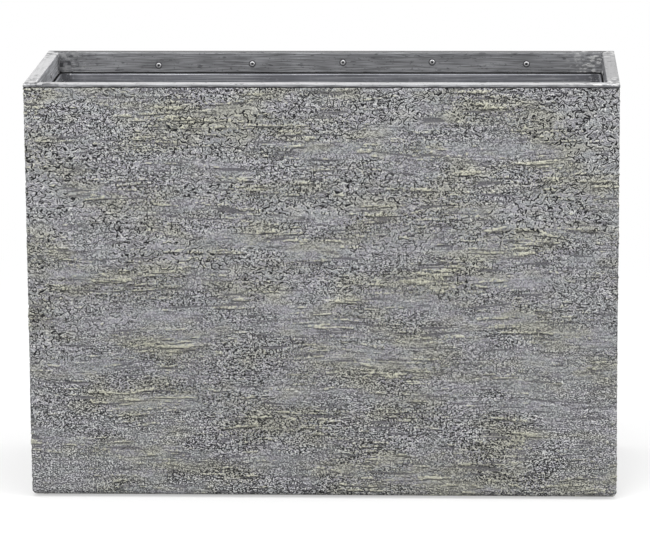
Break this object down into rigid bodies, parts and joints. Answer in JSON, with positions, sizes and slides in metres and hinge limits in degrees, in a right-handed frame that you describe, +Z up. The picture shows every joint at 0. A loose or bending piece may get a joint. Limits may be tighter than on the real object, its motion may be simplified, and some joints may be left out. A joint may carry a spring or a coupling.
{
  "type": "rectangular planter",
  "caption": "Tall rectangular floor planter: stone-like cast shell, riveted folded-metal rim and a lift-out sheet-metal liner with drain holes.",
  "frame": {"origin": "middle of the base, on the plane of the feet", "axes": "+Z up, +X along the planter's width, the front faces -Y"},
  "size_m": [0.8, 0.3, 0.573],
  "materials": {
    "cast_stone": "matte",
    "rim_paint": "satin",
    "rivet_metal": "satin",
    "rivet_stem": "matte",
    "liner_sheet": "satin",
    "pad_rubber": "matte",
    "foot_rubber": "matte"
  },
  "bodies": {
    "planter": {"stone_shell": "cast_stone", "rim_front": "rim_paint", "rim_right": "rim_paint", "rim_back": "rim_paint", "rim_left": "rim_paint", "corner_angle_front_left": "rim_paint", "corner_angle_front_right": "rim_paint", "corner_angle_back_right": "rim_paint", "corner_angle_back_left": "rim_paint", "rivets_front": "rivet_metal", "rivets_right": "rivet_metal", "rivets_back": "rivet_metal", "rivets_left": "rivet_metal", "rivet_stems_front": "rivet_stem", "rivet_stems_right": "rivet_stem", "rivet_stems_back": "rivet_stem", "rivet_stems_left": "rivet_stem", "liner_pads": "pad_rubber", "feet": "foot_rubber"},
    "liner": {"liner_wrap": "liner_sheet", "liner_end_left": "liner_sheet", "liner_end_right": "liner_sheet"}
  },
  "joints": [
    {"name": "liner_lift", "type": "slide", "parent": "planter", "child": "liner", "axis": [0, 0, 1], "range_m": [0, 0.55]}
  ]
}
